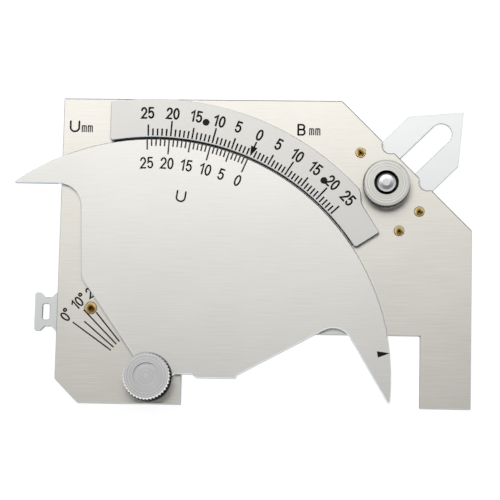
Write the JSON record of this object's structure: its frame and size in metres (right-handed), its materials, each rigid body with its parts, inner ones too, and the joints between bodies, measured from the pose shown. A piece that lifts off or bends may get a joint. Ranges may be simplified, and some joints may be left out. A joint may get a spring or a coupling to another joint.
{
  "type": "weld gauge",
  "caption": "Flat steel weld gauge on two feet with a bridge gap, a swinging cam read on an arc scale, a thumb knob at the pivot and a clamped throat slide at the cut corner.",
  "frame": {"origin": "middle of the bounding box, on the table under the gauge as it lies on its back", "axes": "+X along the feet from the horn's side to the slide's side, +Y from the feet to the top edge, +Z out of the front face"},
  "size_m": [0.1174, 0.079, 0.0093],
  "materials": {
    "body_steel": "fine brushed",
    "cam_steel": "fine brushed",
    "scale_steel": "satin",
    "slide_steel": "fine brushed",
    "turned_steel": "turned",
    "black_steel": "matt black",
    "brass": "polished"
  },
  "bodies": {
    "body": {"body_plate": "body_steel", "scale_plate": "scale_steel", "scale_pin_left": "black_steel", "scale_pin_right": "black_steel", "pivot_bush": "turned_steel", "pivot_washer": "turned_steel", "slide_guide_upper": "slide_steel", "slide_guide_lower": "slide_steel", "guide_rivet_upper_outer": "brass", "guide_rivet_upper_inner": "brass", "guide_rivet_lower_outer": "brass", "guide_rivet_lower_inner": "brass", "clamp_screw": "turned_steel", "clamp_washer": "turned_steel", "lug_plate": "body_steel", "lug_rivet_outer": "brass", "lug_rivet_inner": "brass"},
    "cam": {"cam_plate": "cam_steel"},
    "slide": {"throat_slide": "slide_steel"},
    "knob": {"pivot_knob": "turned_steel"},
    "nut": {"clamp_nut": "turned_steel"}
  },
  "joints": [
    {"name": "cam_swing", "type": "hinge", "parent": "body", "child": "cam", "pos_m": [-0.02286, -0.0328, 0.00495], "axis": [0, 0, 1], "range_deg": [-23.6, 24.8]},
    {"name": "slide_travel", "type": "slide", "parent": "body", "child": "slide", "axis": [0.7071, 0.7071, 0], "range_m": [-0.016, 0.003]},
    {"name": "knob_turn", "type": "hinge", "parent": "body", "child": "knob", "pos_m": [-0.02286, -0.0328, 0.0078], "axis": [0, 0, 1], "range_deg": [0, 360]},
    {"name": "nut_turn", "type": "hinge", "parent": "body", "child": "nut", "pos_m": [0.03687, 0.01755, 0.0065], "axis": [0, 0, 1], "range_deg": [0, 360]}
  ]
}
